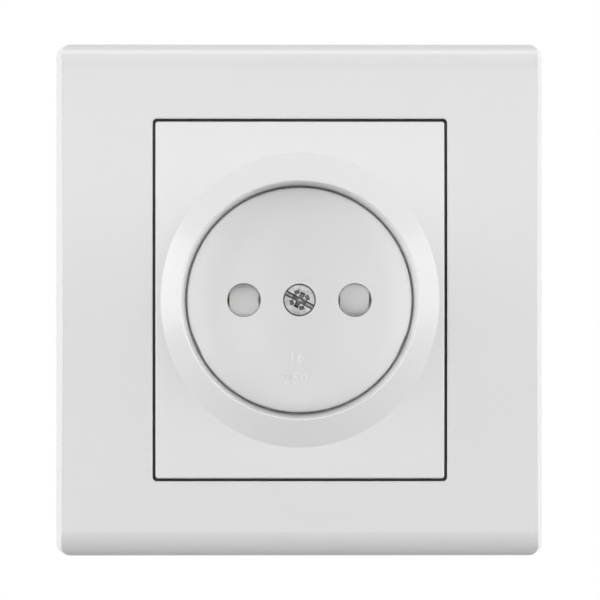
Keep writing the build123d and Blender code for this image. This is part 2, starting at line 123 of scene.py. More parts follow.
class Graph:
    """Node tree of one material, with a Principled shader that the other nodes feed."""

    def __init__(self, name: str) -> None:
        """Start a material of this name with a plain surface."""
        self.material = bpy.data.materials.new(name)
        self.material.use_nodes = True
        self.tree = self.material.node_tree
        self.shader = self.tree.nodes["Principled BSDF"]
        self.place = self.tree.nodes.new("ShaderNodeTexCoord").outputs["Object"]

    def node(self, kind: str, **values: object) -> bpy.types.Node:
        """Add a node.

        Args:
            kind: Blender's type name of the node.
            values: Properties of the node, or values of its inputs by name.

        Returns:
            The new node.
        """
        node = self.tree.nodes.new(kind)
        for key, value in values.items():
            if hasattr(node, key):
                setattr(node, key, value)
            else:
                node.inputs[key.replace("_", " ")].default_value = value
        return node

    def join(self, source: Socket, target: Socket) -> None:
        """Link one socket to another."""
        self.tree.links.new(source, target)

    def noise(self, scale: float, detail: float, stretch: Triple = (1.0, 1.0, 1.0)) -> Socket:
        """Lay a noise pattern on the object's own coordinates.

        Args:
            scale: Features per metre.
            detail: Number of octaves.
            stretch: Scale along X, Y and Z before the pattern is laid.

        Returns:
            The pattern's value.
        """
        mapping = self.node("ShaderNodeMapping", Scale=stretch)
        self.join(self.place, mapping.inputs["Vector"])
        noise = self.node("ShaderNodeTexNoise", Scale=scale, Detail=detail)
        self.join(mapping.outputs["Vector"], noise.inputs["Vector"])
        return noise.outputs["Fac"]

    def between(self, value: Socket, low: float, high: float) -> Socket:
        """Spread a pattern's middle range between two values.

        Args:
            value: Pattern around 0.5.
            low: Result at the pattern's low end.
            high: Result at the pattern's high end.

        Returns:
            The spread value.
        """
        spread = self.node("ShaderNodeMapRange", From_Min=PATTERN_LOW, From_Max=PATTERN_HIGH)
        spread.inputs["To Min"].default_value = low
        spread.inputs["To Max"].default_value = high
        self.join(value, spread.inputs["Value"])
        return spread.outputs["Result"]

    def tint(self, value: Socket, dark: Triple, light: Triple) -> None:
        """Colour the surface between two tones by a pattern.

        Args:
            value: Pattern around 0.5.
            dark: Linear colour at the low end.
            light: Linear colour at the high end.
        """
        mix = self.node("ShaderNodeMix", data_type="RGBA")
        factor, first, second = (s for s in mix.inputs if s.enabled)
        first.default_value = (*dark, 1.0)
        second.default_value = (*light, 1.0)
        self.join(self.between(value, 0.0, 1.0), factor)
        self.join(next(s for s in mix.outputs if s.enabled), self.shader.inputs["Base Color"])

    def gloss(self, value: Socket, middle: float, change: float) -> None:
        """Let the roughness follow a pattern.

        Args:
            value: Pattern around 0.5.
            middle: Mean roughness.
            change: Largest difference from the mean.
        """
        self.join(self.between(value, middle - change, middle + change), self.shader.inputs["Roughness"])

    def bump(self, value: Socket, depth: float) -> None:
        """Raise the surface by a pattern, on top of any bump that it already has.

        Args:
            value: Pattern of heights from 0 to 1.
            depth: Height in metres.
        """
        bump = self.node("ShaderNodeBump", Strength=1.0, Distance=depth)
        self.join(value, bump.inputs["Height"])
        normal = self.shader.inputs["Normal"]
        if normal.links:
            self.join(normal.links[0].from_socket, bump.inputs["Normal"])
        self.join(bump.outputs["Normal"], normal)

    def vector(self, operation: str, first: Socket, second: Triple = (0.0, 0.0, 0.0)) -> Socket:
        """Work on the parts of a vector.

        Args:
            operation: Blender's name of the operation.
            first: The vector.
            second: Constant vector that the operation uses.

        Returns:
            The new vector.
        """
        step = self.node("ShaderNodeVectorMath", operation=operation)
        step.inputs[1].default_value = second
        self.join(first, step.inputs[0])
        return step.outputs["Vector"]

    def paint_shade(self, middle: Triple, reach: Triple, colour: Triple) -> None:
        """Paint a shade on what lies in a box, and in its mirror images about the three axes.

        Args:
            middle: Centre of the box where the coordinates are positive.
            reach: Half the box's size.
            colour: Linear colour of the painted shade in the box.
        """
        apart = self.vector("SUBTRACT", self.vector("ABSOLUTE", self.place), middle)
        share = self.vector("DIVIDE", self.vector("ABSOLUTE", apart), reach)
        parts = self.node("ShaderNodeSeparateXYZ")
        self.join(share, parts.inputs["Vector"])
        farthest = parts.outputs["X"]
        for part in (parts.outputs["Y"], parts.outputs["Z"]):
            larger = self.node("ShaderNodeMath", operation="MAXIMUM")
            self.join(farthest, larger.inputs[0])
            self.join(part, larger.inputs[1])
            farthest = larger.outputs["Value"]
        inside = self.node("ShaderNodeMath", operation="LESS_THAN")
        inside.inputs[1].default_value = 1.0
        self.join(farthest, inside.inputs[0])
        mix = self.node("ShaderNodeMix", data_type="RGBA")
        factor, first, second = (s for s in mix.inputs if s.enabled)
        base = self.shader.inputs["Base Color"]
        self.join(base.links[0].from_socket, first)
        second.default_value = (*colour, 1.0)
        self.join(inside.outputs["Value"], factor)
        self.join(next(s for s in mix.outputs if s.enabled), base)


@dataclass(frozen=True)
class PaintedShade:
    """Shade painted into a narrow seam or onto a hole's rim: a box, mirrored about the three axes, and its
    colour.
    """

    middle: Triple
    reach: Triple
    colour: Triple


@dataclass(frozen=True)
class MouldedPlastic:
    """Injection-moulded plastic with a fine grain and slow changes of tone and gloss."""

    name: str
    slot: str
    colour: Triple
    tone_change: float
    roughness: float
    gloss_change: float
    grain_depth: float
    flow_depth: float
    painted_shade: PaintedShade | None = None
    tone_scale: float = 70.0
    gloss_scale: float = 60.0
    flow_scale: float = 95.0
    grain_scale: float = 5200.0
    ior: float = 1.46

    def make(self) -> bpy.types.Material:
        """Build the material, or find it where it is already built.

        Returns:
            The finished material.
        """
        if self.name in bpy.data.materials:
            return bpy.data.materials[self.name]
        graph = Graph(self.name)
        dark = tuple(c * (1.0 - self.tone_change) for c in self.colour)
        graph.tint(graph.noise(self.tone_scale, 3.0), dark, self.colour)
        # Painted shade: a darker colour in the box, where a seam or a hole's rim lies in shade.
        if self.painted_shade:
            graph.paint_shade(self.painted_shade.middle, self.painted_shade.reach, self.painted_shade.colour)
        graph.gloss(graph.noise(self.gloss_scale, 2.0), self.roughness, self.gloss_change)
        graph.shader.inputs["IOR"].default_value = self.ior
        graph.bump(graph.noise(self.flow_scale, 1.0), self.flow_depth)
        graph.bump(graph.noise(self.grain_scale, 2.0), self.grain_depth)
        return graph.material


@dataclass(frozen=True)
class WorkedMetal:
    """Bare or plated metal with fine working lines and a slow tarnish."""

    name: str
    slot: str
    colour: Triple
    tarnish: Triple
    roughness: float
    gloss_change: float
    brush: Brush
    line_depth: float
    mottle: float = 260.0
    line_scale: float = 2600.0

    def make(self) -> bpy.types.Material:
        """Build the material, or find it where it is already built.

        Returns:
            The finished material.
        """
        if self.name in bpy.data.materials:
            return bpy.data.materials[self.name]
        graph = Graph(self.name)
        graph.shader.inputs["Metallic"].default_value = 1.0
        graph.tint(graph.noise(self.mottle, 5.0), self.tarnish, self.colour)
        lines = graph.noise(self.line_scale, 3.0, self.brush.value)
        graph.gloss(lines, self.roughness, self.gloss_change)
        graph.bump(lines, self.line_depth)
        return graph.material


Finish = MouldedPlastic | WorkedMetal


def grey(tone: float) -> Triple:
    """Neutral linear colour of this tone."""
    return (tone, tone, tone)


# Painted shade on the frame's opening walls, which show dark through the gap round the cover plate.
SEAM_SHADE = PaintedShade((0.0, 7.6 * MM, 0.0), (25.4 * MM, 2.2 * MM, 31.2 * MM), grey(0.18))
# Painted shade on the chamfers round the pin holes, darkening their rims where shade falls; it also stands
# for rubbing by plug pins.
PIN_SHADE_AND_RUB = PaintedShade((9.5 * MM, 4.57 * MM, 0.0), (2.95 * MM, 0.07 * MM, 2.95 * MM), grey(0.34))
FRAME = MouldedPlastic(
    "frame_moulding", "white_plastic", grey(0.82), 0.012, 0.25, 0.008, 1.5e-6, 2.5e-6, SEAM_SHADE
)
PLATE = MouldedPlastic("plate_moulding", "white_plastic", grey(0.845), 0.012, 0.19, 0.008, 1.5e-6, 2.5e-6)
FACE = MouldedPlastic(
    "face_moulding", "white_plastic", grey(0.90), 0.015, 0.34, 0.015, 2.5e-6, 2.5e-6, PIN_SHADE_AND_RUB
)
# Painted highlight: the numbers are the face's own plastic, made lighter to stand for the light on their
# raised strokes.
LIT_RELIEF = MouldedPlastic("relief_moulding", "white_plastic", grey(0.97), 0.01, 0.30, 0.01, 1e-6, 1e-6)
PALE = MouldedPlastic("shutter_moulding", "shutter_plastic", grey(0.90), 0.02, 0.40, 0.02, 3e-6, 2e-6)
IVORY = MouldedPlastic("base_moulding", "base_plastic", (0.62, 0.61, 0.57), 0.05, 0.5, 0.06, 6e-6, 4e-6)
ZINC = WorkedMetal(
    "zinc_plate", "zinc_steel", (0.60, 0.61, 0.63), (0.54, 0.55, 0.57), 0.34, 0.04, Brush.ROLLED, 8e-7
)
NICKEL = WorkedMetal(
    "nickel_plate", "screw_steel", grey(0.35), grey(0.21), 0.38, 0.08, Brush.TUMBLED, 6e-6, 1500.0
)
# Painted shade: dark steel for the walls of the screws' recesses, which are plated like the rest of the
# head.
RECESS_SHADE = WorkedMetal(
    "recess_steel", "screw_steel", grey(0.14), grey(0.05), 0.45, 0.1, Brush.TUMBLED, 4e-6
)
# Painted shade, a little lighter: the floor of a screw's slot.
SLOT_FLOOR_SHADE = WorkedMetal(
    "slot_floor_steel", "screw_steel", grey(0.19), grey(0.12), 0.42, 0.1, Brush.TUMBLED, 5e-6, 1500.0
)
BRASS = WorkedMetal(
    "pressed_brass", "brass", (0.72, 0.52, 0.22), (0.55, 0.37, 0.14), 0.30, 0.08, Brush.DRAWN, 2e-6
)
SPRING = WorkedMetal(
    "spring_wire", "spring_steel", (0.45, 0.45, 0.46), (0.30, 0.30, 0.31), 0.32, 0.08, Brush.DRAWN, 2e-6
)


def only(piece: Piece) -> Piece:
    """Select one object and nothing else.

    Args:
        piece: The object to select and make active.

    Returns:
        The same object.
    """
    bpy.ops.object.select_all(action="DESELECT")
    piece.select_set(True)
    bpy.context.view_layer.objects.active = piece
    return piece


def started(name: str) -> Piece:
    """Name the primitive just added, with its place and size taken into its mesh.

    Args:
        name: Name of the new object.

    Returns:
        The object.
    """
    piece = only(bpy.context.object)
    piece.name = name
    piece.data.name = name
    bpy.ops.object.transform_apply(location=True, rotation=True, scale=True)
    return piece


def pick_faces(piece: Piece, wanted: Callable[[bpy.types.MeshPolygon], bool]) -> None:
    """Open a piece in edit mode with some of its faces selected.

    Args:
        piece: The mesh object.
        wanted: Says of each face whether it is selected.
    """
    only(piece)
    bpy.ops.object.mode_set(mode="EDIT")
    bpy.ops.mesh.select_mode(type="FACE")
    bpy.ops.mesh.select_all(action="DESELECT")
    bpy.ops.object.mode_set(mode="OBJECT")
    for face in piece.data.polygons:
        face.select = wanted(face)
    bpy.ops.object.mode_set(mode="EDIT")


def apply(piece: Piece, kind: str, **settings: object) -> None:
    """Add a modifier and apply it.

    Args:
        piece: The mesh object.
        kind: Blender's type name of the modifier.
        settings: Properties of the modifier.
    """
    only(piece)
    modifier = piece.modifiers.new(kind.lower(), kind)
    for key, value in settings.items():
        setattr(modifier, key, value)
    bpy.ops.object.modifier_apply(modifier=modifier.name)


def tidy(piece: Piece, angle: float = 35.0) -> None:
    """Merge double vertices, turn all faces outwards and smooth the round ones.

    Args:
        piece: The mesh object.
        angle: Edges sharper than this stay hard, in degrees.
    """
    only(piece)
    bpy.ops.object.mode_set(mode="EDIT")
    bpy.ops.mesh.select_all(action="SELECT")
    bpy.ops.mesh.remove_doubles(threshold=1e-7)
    bpy.ops.mesh.normals_make_consistent(inside=False)
    bpy.ops.object.mode_set(mode="OBJECT")
    bpy.ops.object.shade_smooth_by_angle(angle=math.radians(angle))


def chain(name: str, outline: Outline) -> Piece:
    """Draw a chain of edges through points of radius and depth, beside the Y axis.

    Args:
        name: Name of the new object.
        outline: Radius and depth of each point, in metres.

    Returns:
        The object, with edges only.
    """
    radius, depth = outline[0]
    bpy.ops.object.select_all(action="DESELECT")
    bpy.ops.mesh.primitive_plane_add(size=MM, location=(radius, depth, 0.0))
    piece = started(name)
    bpy.ops.object.mode_set(mode="EDIT")
    bpy.ops.mesh.select_mode(type="VERT")
    bpy.ops.mesh.select_all(action="SELECT")
    bpy.ops.mesh.merge(type="CENTER")
    for (r0, y0), (r1, y1) in zip(outline, outline[1:]):
        bpy.ops.mesh.extrude_region_move(TRANSFORM_OT_translate={"value": (r1 - r0, y1 - y0, 0.0)})
    bpy.ops.object.mode_set(mode="OBJECT")
    return piece


def turned(name: str, outline: Outline, sides: int) -> Piece:
    """Turn a closed solid about the Y axis.

    Args:
        name: Name of the new object.
        outline: Radius and depth of each point, from the axis back to the axis.
        sides: Number of steps round the axis.

    Returns:
        The solid.
    """
    piece = chain(name, outline)
    apply(piece, "SCREW", axis="Y", steps=sides, render_steps=sides)
    tidy(piece)
    return piece


def joined(first: Piece, *others: Piece) -> Piece:
    """Join several objects into the first.

    Args:
        first: The object that stays.
        others: The objects that go into it.

    Returns:
        The first object.
    """
    only(first)
    for other in others:
        other.select_set(True)
    bpy.ops.object.join()
    return first


def cut(piece: Piece, cutter: Piece) -> None:
    """Take the form of a cutter away from a piece, and remove the cutter.

    Args:
        piece: The mesh object that is cut.
        cutter: The closed mesh that is taken away.
    """
    apply(piece, "BOOLEAN", operation="DIFFERENCE", object=cutter, solver="EXACT")
    bpy.data.objects.remove(cutter)


def move(piece: Piece, offset: Vector, angle: float = 0.0, axis: Axis = Axis.Z) -> None:
    """Turn a finished piece about the origin, move it and take both into its mesh.

    Args:
        piece: The mesh object.
        offset: The move, in metres.
        angle: The turn before the move, in degrees.
        axis: The axis of the turn.
    """
    only(piece)
    if angle:
        turn = -math.radians(angle)
        bpy.ops.transform.rotate(value=turn, orient_axis=axis.name, center_override=(0.0, 0.0, 0.0))
    bpy.ops.transform.translate(value=offset)
    bpy.ops.object.transform_apply(location=True, rotation=True, scale=True)


def half_turned(piece: Piece, name: str) -> Piece:
    """Copy a piece with its own mesh, turned half round the socket's axis.

    Args:
        piece: The piece to copy.
        name: Name of the copy.

    Returns:
        The copy.
    """
    only(piece)
    bpy.ops.object.duplicate(linked=False)
    copy = bpy.context.object
    copy.name = name
    copy.data.name = name
    only(copy)
    bpy.ops.transform.rotate(value=math.pi, orient_axis="Y", center_override=(0.0, 0.0, 0.0))
    bpy.ops.object.transform_apply(location=True, rotation=True, scale=True)
    return copy


def dress(piece: Piece, *finishes: Finish) -> None:
    """Give a piece its finishes, one for each material index.

    Args:
        piece: The mesh object.
        finishes: The finishes in order.
    """
    slots = piece.data.materials
    for index, finish in enumerate(finishes):
        if index < len(slots):
            slots[index] = finish.make()
        else:
            slots.append(finish.make())
    LOG.info("%s: %s", piece.name, ", ".join(finish.name for finish in finishes))


def stand_in(piece: Piece, node: Piece, *finishes: Finish) -> None:
    """Let a new piece take the place of a carried-over node, on the node's body.

    Args:
        piece: The new piece.
        node: The node that it replaces.
        finishes: The new piece's finishes.
    """
    dress(piece, *finishes)
    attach(piece, body_of(node)[0])
    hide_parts(node.name)


@dataclass
class Cover:
    """Outer frame, cover plate and face insert, with raised numbers low on the face."""

    nodes: dict[str, Piece]
    numbers: tuple[tuple[str, float, float], ...] = (
        ("16", -0.50 * MM, -9.9 * MM),
        ("250", -0.65 * MM, -13.4 * MM),
    )
    number_size: float = 2.8 * MM
    number_width: float = 0.8
    number_spacing: float = 1.35
    relief: float = 0.10 * MM
    relief_bevel: float = 0.12 * MM

    def dress(self) -> None:
        """Give the three mouldings their finishes."""
        dress(self.nodes["outer_frame"], FRAME)
        dress(self.nodes["cover_plate"], PLATE)
        dress(self.nodes["face_insert"], FACE)

    def build(self) -> None:
        """Raise the numbers out of the face, lighter than the face to paint the light that their strokes
        catch.
        """
        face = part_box("face_insert")[0].y
        lines = [self.make_number(number, Vector((x, face, z))) for number, x, z in self.numbers]
        relief = joined(*lines)
        relief.name = "face_numbers"
        tidy(relief, 50.0)
        dress(relief, LIT_RELIEF)
        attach(relief, body_of(self.nodes["face_insert"])[0])

    def make_number(self, number: str, place: Vector) -> Piece:
        """Set one number on the face.

        Args:
            number: The digits.
            place: Middle of the number, on the face.

        Returns:
            The number as a mesh.
        """
        bpy.ops.object.select_all(action="DESELECT")
        bpy.ops.object.text_add(location=place, rotation=(math.pi / 2, 0.0, 0.0))
        text = bpy.context.object
        text.data.body = number
        text.data.size = self.number_size
        text.data.space_character = self.number_spacing
        text.data.align_x = "CENTER"
        text.data.align_y = "CENTER"
        text.data.extrude = self.relief
        text.data.bevel_depth = self.relief_bevel
        text.data.resolution_u = 6
        text.scale.x = self.number_width
        bpy.ops.object.convert(target="MESH")
        return started(f"number_{number}")


@dataclass
class Shutter:
    """Shutter, its cover and its torsion spring of round wire."""

    nodes: dict[str, Piece]
    wire: float = 0.5 * MM
    mean_radius: float = 4.3 * MM
    pitch: float = 0.6 * MM
    turns: int = 2
    start: float = -0.56 * MM
    leg: float = 3.4 * MM
    bend: float = 0.2 * MM
    wire_sides: int = 14
    steps: int = 56

    def dress(self) -> None:
        """Give the two mouldings their finish."""
        for name in ("shutter", "shutter_cover"):
            dress(self.nodes[name], PALE)

    def build(self) -> None:
        """Wind the spring from the leg in the hub to the leg in the cover, and let it twist between them."""
        bpy.ops.object.select_all(action="DESELECT")
        bpy.ops.mesh.primitive_circle_add(
            vertices=self.wire_sides,
            radius=self.wire / 2,
            fill_type="NOTHING",
            location=(0.0, self.start, self.mean_radius),
            rotation=(0.0, math.pi / 2, 0.0),
        )
        spring = started("torsion_spring")
        apply(
            spring,
            "SCREW",
            axis="Y",
            steps=self.steps,
            render_steps=self.steps,
            screw_offset=self.pitch,
            iterations=self.turns,
        )
        self.lead_out(spring)
        end = self.start + self.pitch * self.turns
        joined(spring, self.make_back_leg(end))
        tidy(spring, 60.0)
        dress(spring, SPRING)
        moving, fixed = (body_of(self.nodes[name])[0] for name in ("shutter", "shutter_cover"))
        near, far = self.start + self.wire / 2, end - self.wire / 2
        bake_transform(spring, moving, fixed, start=(0.0, near, 0.0), end=(0.0, far, 0.0))
        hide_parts("shutter_spring")

    def lead_out(self, spring: Piece) -> None:
        """Draw the straight front leg out of the coil's first end.

        Args:
            spring: The coil.
        """
        only(spring)
        bpy.ops.object.mode_set(mode="EDIT")
        bpy.ops.mesh.select_mode(type="VERT")
        bpy.ops.mesh.select_all(action="DESELECT")
        bpy.ops.object.mode_set(mode="OBJECT")
        end = Vector((0.0, self.start, self.mean_radius))
        for vertex in spring.data.vertices:
            apart = vertex.co - end
            vertex.select = abs(apart.x) < 1e-7 and apart.length < self.wire * 0.6
        bpy.ops.object.mode_set(mode="EDIT")
        bpy.ops.mesh.extrude_region_move(TRANSFORM_OT_translate={"value": (-self.leg, 0.0, 0.0)})
        bpy.ops.mesh.edge_face_add()
        bpy.ops.object.mode_set(mode="OBJECT")

    def make_back_leg(self, depth: float) -> Piece:
        """Model the leg that goes straight back from the coil's last end.

        Args:
            depth: Depth of that end.

        Returns:
            The leg, with a round bend at its front.
        """
        front = depth - self.wire / 2
        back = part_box("shutter_spring")[1].y
        bpy.ops.object.select_all(action="DESELECT")
        bpy.ops.mesh.primitive_cylinder_add(
            vertices=self.wire_sides,
            radius=self.wire / 2,
            depth=back - front,
            location=(0.0, (front + back) / 2, self.mean_radius),
            rotation=(math.pi / 2, 0.0, 0.0),
        )
        leg = started("back_leg")
        pick_faces(leg, lambda face: face.normal.y < -0.5)
        bpy.ops.mesh.bevel(offset=self.bend, segments=4)
        bpy.ops.object.mode_set(mode="OBJECT")
        return leg


@dataclass(frozen=True)
class Screw:
    """Machine screw along +Y, with the front of its head at the origin."""

    name: str
    head_radius: float
    head_height: float
    length: float
    drive: Drive = Drive.SLOT
    slot_angle: float = 0.0
    round_seat: float = 0.0
    plain: float = 1.2 * MM
    shank_radius: float = 1.49 * MM
    core_radius: float = 1.2 * MM
    pitch: float = 0.5 * MM
    thread_sink: float = 0.02 * MM
    crest_drop: float = 0.01 * MM
    crest_flat: float = 0.08 * MM
    tip: float = 0.35 * MM
    edge: float = 0.09 * MM
    slot_width: float = 1.3 * MM
    slot_depth: float = 0.6 * MM
    slot_taper: float = 0.35
    cross_reach: float = 1.65 * MM
    cross_width: float = 0.95 * MM
    cross_depth: float = 1.0 * MM
    cross_taper: float = 0.7
    tick_place: float = 1.40 * MM
    tick_span: float = 0.8 * MM
    tick_width: float = 1.0 * MM
    tick_depth: float = 0.3 * MM
    tick_taper: float = 0.7
    drill_radius: float = 0.42 * MM
    drill_depth: float = 0.3 * MM
    drill_sides: int = 16
    rim_share: float = 0.9
    hair: float = 0.02 * MM
    sides: int = 56

    def head_outline(self) -> list[tuple[float, float]]:
        """Outline of the head.

        Returns:
            Radius and depth of each point, from the axis to the edge of the shank.
        """
        r, h, edge = self.head_radius, self.head_height, self.edge
        points = [(0.0, 0.0), (r - edge, 0.0)]
        for angle in (30, 60, 90):
            turn = math.radians(angle)
            points.append((r - edge + edge * math.sin(turn), edge * (1.0 - math.cos(turn))))
        if not self.round_seat:
            return points + [(r, h), (self.shank_radius, h)]
        points.append((r, h - self.round_seat))
        for share in (0.25, 0.5, 0.75, 1.0):
            turn = math.asin(self.round_seat / r) * share
            points.append((r * math.cos(turn), h - self.round_seat + r * math.sin(turn)))
        return points + [(self.shank_radius, h)]

    def make(self) -> Piece:
        """Model the screw with its recess and its thread.

        Returns:
            The screw, with its recess in the second material and the slot's floor in the third, both
            darkened to paint the shade in the recess.
        """
        start = self.head_height + self.plain
        shank = [
            (self.shank_radius, start),
            (self.core_radius, start + self.shank_radius - self.core_radius),
            (self.core_radius, self.length - self.tip),
            (self.core_radius - self.tip, self.length),
            (0.0, self.length),
        ]
        screw = turned(self.name, self.head_outline() + shank, self.sides)
        self.cut_recess(screw)
        joined(screw, self.make_thread(start - self.pitch, self.length - self.tip))
        self.mark_recess(screw)
        return screw

    def make_thread(self, start: float, end: float) -> Piece:
        """Wind the thread round the core.

        Args:
            start: Depth at which it leaves the plain shank.
            end: Depth at which it is cut off.

        Returns:
            The thread, closed at its end.
        """
        root = self.core_radius - self.thread_sink
        crest = self.shank_radius - self.crest_drop
        middle, half = start + self.pitch / 2, self.crest_flat / 2
        outline = [(root, start), (crest, middle - half), (crest, middle + half), (root, start + self.pitch)]
        thread = chain(f"{self.name}_thread", outline)
        turns = math.ceil((end - start) / self.pitch)
        apply(
            thread,
            "SCREW",
            axis="Y",
            steps=self.sides // 2,
            render_steps=self.sides // 2,
            screw_offset=self.pitch,
            iterations=turns,
        )
        tidy(thread, 40.0)
        bpy.ops.object.mode_set(mode="EDIT")
        bpy.ops.mesh.select_all(action="SELECT")
        bpy.ops.mesh.bisect(plane_co=(0, end, 0), plane_no=(0, 1, 0), use_fill=True, clear_outer=True)
        bpy.ops.object.mode_set(mode="OBJECT")
        return thread

    def cut_recess(self, screw: Piece) -> None:
        """Cut the driver's slot, and the cross where there is one.

        Args:
            screw: The turned screw.
        """
        reach = 2.2 * self.head_radius / self.slot_taper
        slot = (reach, self.slot_width, self.slot_depth, self.slot_taper)
        cut(screw, self.make_cutter(*slot, self.slot_angle))
        if self.drive is Drive.SLOT_AND_CROSS:
            arm = (2.0 * self.cross_reach, self.cross_width, self.cross_depth, self.cross_taper)
            tick = (self.tick_span, self.tick_width, self.tick_depth, self.tick_taper)
            for turn in (0.0, 90.0):
                cut(screw, self.make_cutter(*arm, self.slot_angle + turn))
            for turn in (45.0, 135.0, 225.0, 315.0):
                cut(screw, self.make_cutter(*tick, self.slot_angle + turn, self.tick_place))
            wall, floor = self.drill_radius, self.cross_depth
            drill = [(0.0, 0.0), (wall, 0.0), (wall, floor), (0.0, floor + self.drill_depth)]
            cut(screw, turned("cutter", drill, self.drill_sides))

    def make_cutter(
        self, span: float, width: float, depth: float, taper: float, angle: float, out: float = 0.0
    ) -> Piece:
        """Block that cuts a recess into the front of the head.

        Args:
            span: Length across the head.
            width: Width of the cut.
            depth: Depth of the cut.
            taper: Size of the cut's floor against the block's front.
            angle: Turn about the screw's axis, in degrees.
            out: Distance of the cut's middle from the axis.

        Returns:
            The block.
        """
        bpy.ops.object.select_all(action="DESELECT")
        size = (span, 2.0 * depth, width)
        bpy.ops.mesh.primitive_cube_add(size=1.0, location=(out, 0.0, 0.0), scale=size)
        cutter = started("cutter")
        pick_faces(cutter, lambda face: face.normal.y > 0.5)
        bpy.ops.transform.resize(value=(taper, 1.0, taper), center_override=(out, depth, 0.0))
        bpy.ops.object.mode_set(mode="OBJECT")
        move(cutter, Vector((0.0, 0.0, 0.0)), angle, Axis.Y)
        return cutter

    def mark_recess(self, screw: Piece) -> None:
        """Put the recess into the second material and the slot's floor into the third, whose dark colours
        paint the shade in the recess.

        The drilled point stays in the first.

        Args:
            screw: The screw with its recess cut.
        """
        inner = self.rim_share * self.head_radius
        floor = self.cross_depth + self.hair
        for face in screw.data.polygons:
            middle = face.center
            inside = math.hypot(middle.x, middle.z) < inner
            # Faces in the recess get the painted shade materials.
            if inside and self.hair / 2 < middle.y < floor:
                on_floor = face.normal.y < -0.9 and abs(middle.y - self.slot_depth) < self.hair
                face.material_index = 2 if on_floor else 1


@dataclass
class Fasteners:
    """Centre screw, terminal screws, claw screws and strap rivets."""

    nodes: dict[str, Piece]
    slot_angle: float = 28.5
    centre_head: float = 1.5 * MM
    terminal_head: float = 1.9 * MM
    claw_cap: float = 0.6 * MM
    claw_head: float = 2.344 * MM
    rivet_radius: float = 1.7 * MM
    rivet_shank: float = 1.2 * MM
    rivet_head: float = 0.6 * MM
    rivet_sides: int = 40

    def build(self) -> None:
        """Model each kind of fastener once and place its copies."""
        self.build_centre_screw()
        self.build_terminal_screws()
        self.build_claw_screws()
        self.build_rivets()

    def build_centre_screw(self) -> None:
        """Make the screw in the middle of the face."""
        low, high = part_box("centre_screw")
        form = Screw(
            "slotted_cross_screw",
            head_radius=(high.x - low.x) / 2,
            head_height=self.centre_head,
            length=high.y - low.y,
            drive=Drive.SLOT_AND_CROSS,
            slot_angle=self.slot_angle,
            plain=7.0 * MM,
        )
        screw = form.make()
        move(screw, Vector((0.0, low.y, 0.0)))
        stand_in(screw, self.nodes["centre_screw"], NICKEL, RECESS_SHADE, SLOT_FLOOR_SHADE)

    def build_terminal_screws(self) -> None:
        """Make the two clamping screws, driven from the sides."""
        low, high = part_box("right_terminal_screw")
        form = Screw(
            "clamp_screw_right",
            head_radius=(high.y - low.y) / 2,
            head_height=self.terminal_head,
            length=high.x - low.x,
            slot_angle=90.0,
            plain=0.6 * MM,
        )
        screw = form.make()
        move(screw, Vector((high.x, (low.y + high.y) / 2, 0.0)), 90.0, Axis.Z)
        stand_in(screw, self.nodes["right_terminal_screw"], NICKEL, RECESS_SHADE, SLOT_FLOOR_SHADE)
        other = half_turned(screw, "clamp_screw_left")
        stand_in(other, self.nodes["left_terminal_screw"], NICKEL, RECESS_SHADE, SLOT_FLOOR_SHADE)

    def build_claw_screws(self) -> None:
        """Make the two screws that draw the claws."""
        low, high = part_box("upper_claw_screw")
        form = Screw(
            "claw_draw_screw_upper",
            head_radius=(high.z - low.z) / 2,
            head_height=self.claw_head,
            length=high.y - low.y,
            round_seat=self.claw_head - self.claw_cap,
            plain=2.0 * MM,
        )
        screw = form.make()
        move(screw, Vector((0.0, low.y, (low.z + high.z) / 2)))
        stand_in(screw, self.nodes["upper_claw_screw"], ZINC, RECESS_SHADE, SLOT_FLOOR_SHADE)
        other = half_turned(screw, "claw_draw_screw_lower")
        stand_in(other, self.nodes["lower_claw_screw"], ZINC, RECESS_SHADE, SLOT_FLOOR_SHADE)

    def build_rivets(self) -> None:
        """Make the two domed rivets through the strap and the base."""
        low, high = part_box("strap_rivets")
        radius, rise, length = self.rivet_radius, self.rivet_head, high.y - low.y
        dome = [(radius * math.sin(t), rise * (1.0 - math.cos(t))) for t in (0.0, 0.4, 0.8, 1.2, 1.57)]
        neck = [(self.rivet_shank, rise), (self.rivet_shank, length - rise)]
        outline = dome + neck + [(r, length - y) for r, y in reversed(dome)]
        rivet = turned("domed_rivet_right", outline, self.rivet_sides)
        move(rivet, Vector((high.x - radius, low.y, high.z - radius)))
        other = half_turned(rivet, "domed_rivet_left")
        for piece in (rivet, other):
            stand_in(piece, self.nodes["strap_rivets"], ZINC)


@dataclass
class Mechanism:
    """Base, strap, claws, contacts and terminals behind the face."""

    nodes: dict[str, Piece]

    def dress(self) -> None:
        """Give every piece of the mechanism its finish."""
        dress(self.nodes["base"], IVORY)
        for name in ("mounting_strap", "upper_claw", "lower_claw"):
            dress(self.nodes[name], ZINC)
        dress(self.nodes["centre_nut"], BRASS)
        for side in ("left", "right"):
            dress(self.nodes[f"{side}_contact"], BRASS)
            dress(self.nodes[f"{side}_terminal"], BRASS)
            dress(self.nodes[f"{side}_contact_spring"], SPRING)


def seen_rays(tree: bpy.types.NodeTree) -> Socket:
    """Tell the rays that show a surface from those that light others.

    Args:
        tree: Node tree of a material or a world.

    Returns:
        One for camera, glossy and transmission rays, otherwise nought.
    """
    path = tree.nodes.new("ShaderNodeLightPath")
    seen = path.outputs["Is Camera Ray"]
    for ray in ("Is Glossy Ray", "Is Transmission Ray"):
        either = tree.nodes.new("ShaderNodeMath")
        either.operation = "MAXIMUM"
        tree.links.new(seen, either.inputs[0])
        tree.links.new(path.outputs[ray], either.inputs[1])
        seen = either.outputs["Value"]
    return seen


